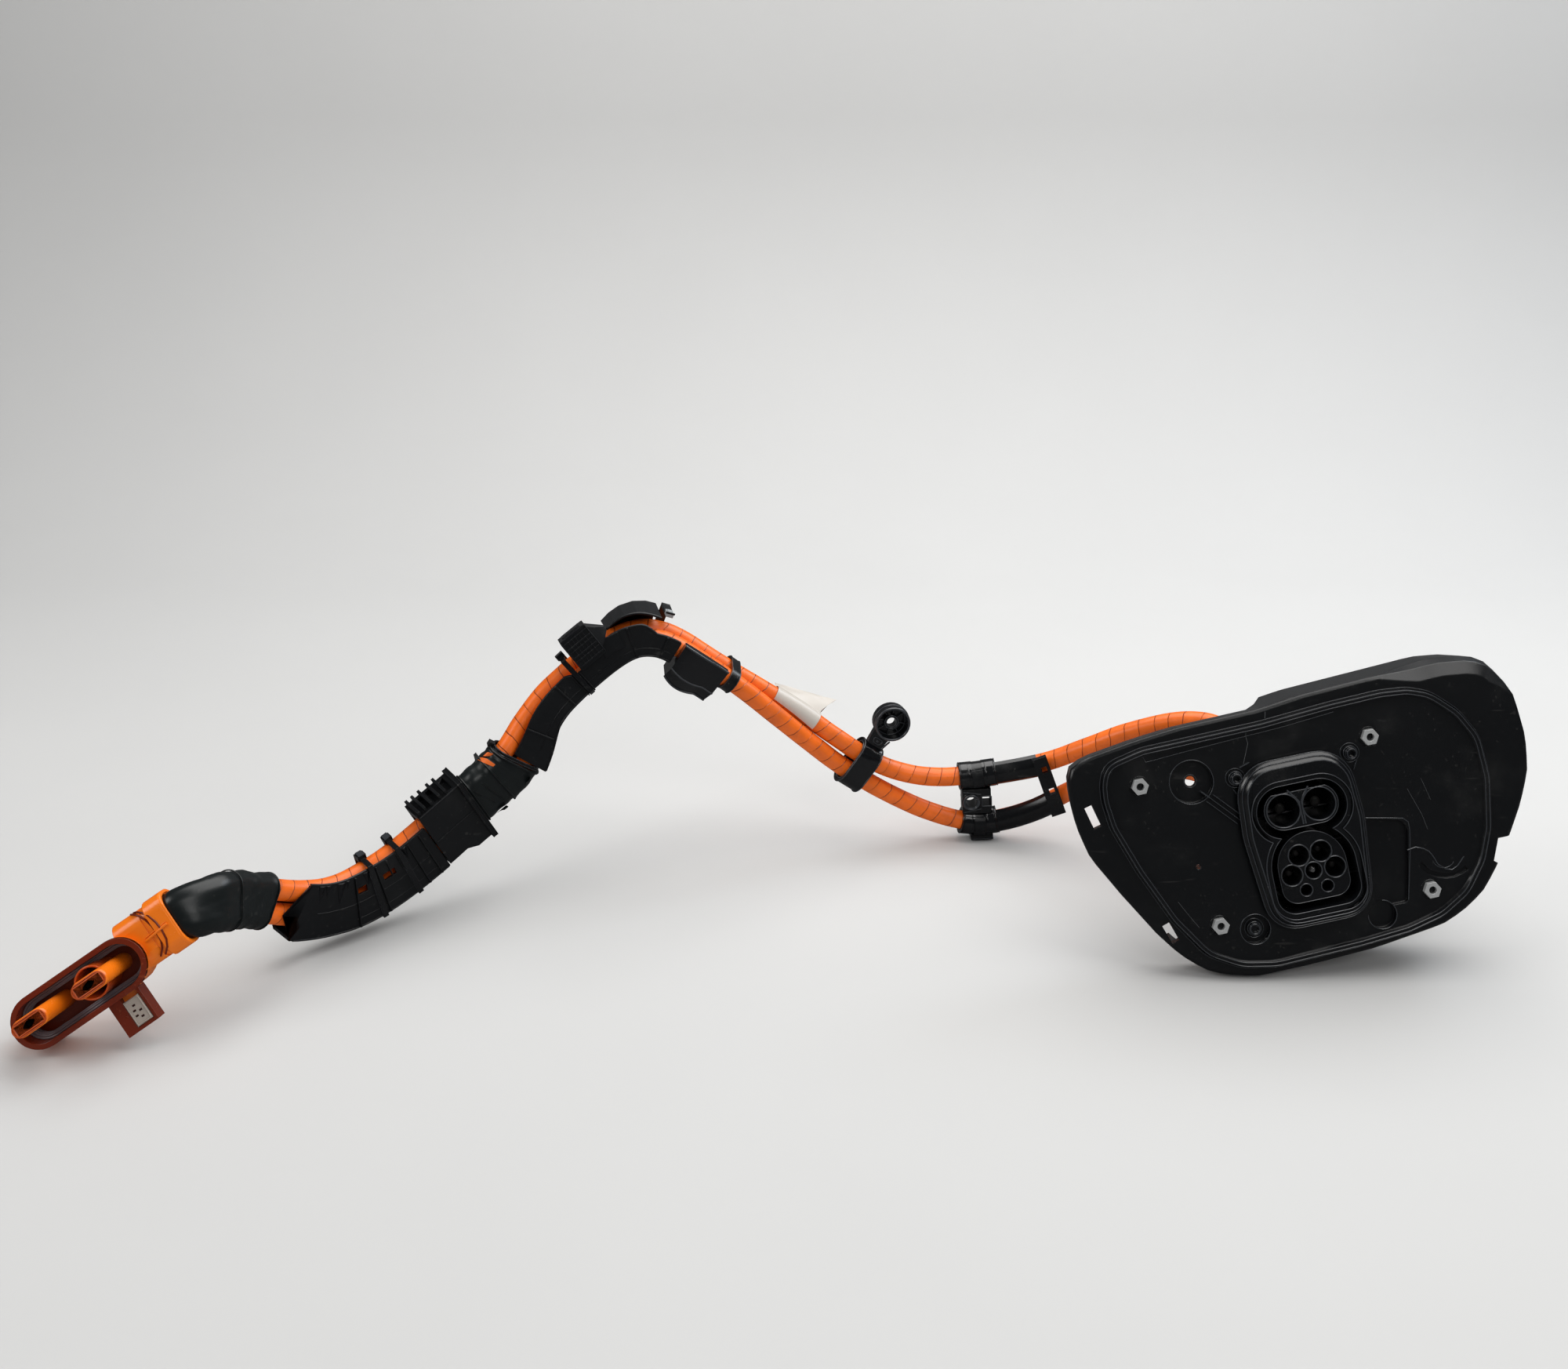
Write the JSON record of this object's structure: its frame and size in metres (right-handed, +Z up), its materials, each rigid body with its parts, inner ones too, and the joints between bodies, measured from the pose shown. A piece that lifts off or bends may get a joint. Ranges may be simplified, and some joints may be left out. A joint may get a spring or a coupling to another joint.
{
  "type": "vehicle charging inlet cable",
  "caption": "Black combined charging inlet on a moulded panel with two long orange high-voltage cables in black ducts and guides, ending in an orange two-pole connector.",
  "frame": {"origin": "centre of the bounding box at its lowest level, on the surface the harness lies on", "axes": "+X along the harness from the connector to the charging inlet, +Y away from the viewer of the inlet face, +Z up"},
  "size_m": [1.1312, 0.37, 0.2386],
  "materials": {
    "black_plastic": "moulded black plastic with a soft sheen",
    "duct_plastic": "moulded dark grey plastic, dusty",
    "dark_rubber": "soft dark rubber",
    "cable_sheath": "orange high-voltage sheath wound with orange tape",
    "amber_plastic": "glossy amber orange plastic",
    "plain_steel": "zinc plated steel",
    "contact_metal": "silver plated contact",
    "pale_plastic": "pale grey plastic",
    "label_film": "blank white film",
    "grey_rubber": "grey sealing rubber"
  },
  "bodies": {
    "root": {"ac_pin_1": "contact_metal", "ac_pin_2": "contact_metal", "ac_pin_3": "contact_metal", "ac_pin_4": "contact_metal", "arch_clip": "pale_plastic", "arch_cover": "duct_plastic", "arch_duct": "duct_plastic", "boot_sleeve": "dark_rubber", "cable_gland_1": "grey_rubber", "cable_gland_2": "grey_rubber", "cable_label": "label_film", "cable_tie_1": "black_plastic", "cable_tie_2": "black_plastic", "cable_tie_3": "black_plastic", "cable_tie_4": "black_plastic", "cable_tie_5": "black_plastic", "carrier_nut_1": "plain_steel", "carrier_nut_2": "plain_steel", "carrier_nut_3": "plain_steel", "carrier_nut_4": "plain_steel", "carrier_shell": "black_plastic", "connector_cap": "amber_plastic", "connector_housing": "amber_plastic", "connector_seal": "grey_rubber", "contact_blade_1": "contact_metal", "contact_blade_2": "contact_metal", "contact_carrier_1": "amber_plastic", "contact_carrier_2": "amber_plastic", "dc_pin_1": "contact_metal", "dc_pin_2": "contact_metal", "duct_block": "duct_plastic", "end_boot": "duct_plastic", "guide_bracket": "black_plastic", "guide_cap_1": "black_plastic", "guide_cap_2": "black_plastic", "hv_cable_negative": "cable_sheath", "hv_cable_positive": "cable_sheath", "inlet_body": "black_plastic", "inlet_frame": "black_plastic", "inlet_gasket": "dark_rubber", "inlet_screw_1": "black_plastic", "inlet_screw_2": "black_plastic", "inlet_screw_3": "black_plastic", "junction_block": "duct_plastic", "lock_actuator": "black_plastic", "lower_duct": "duct_plastic", "p_clip": "black_plastic", "p_clip_grommet": "dark_rubber", "pe_pin": "contact_metal", "pilot_pin_1": "contact_metal", "pilot_pin_2": "contact_metal", "rear_cover": "black_plastic", "rubber_band_1": "dark_rubber", "rubber_band_2": "dark_rubber"},
    "lock": {"lock_pin": "plain_steel"},
    "latch": {"connector_lock": "pale_plastic"}
  },
  "joints": [
    {"name": "lock_slide", "type": "slide", "parent": "root", "child": "lock", "axis": [-0.9781, -0.0545, -0.2006], "range_m": [0, 0.0045]},
    {"name": "latch_slide", "type": "slide", "parent": "root", "child": "latch", "axis": [-0.5678, 0.226, 0.7915], "range_m": [0, 0.004]}
  ]
}
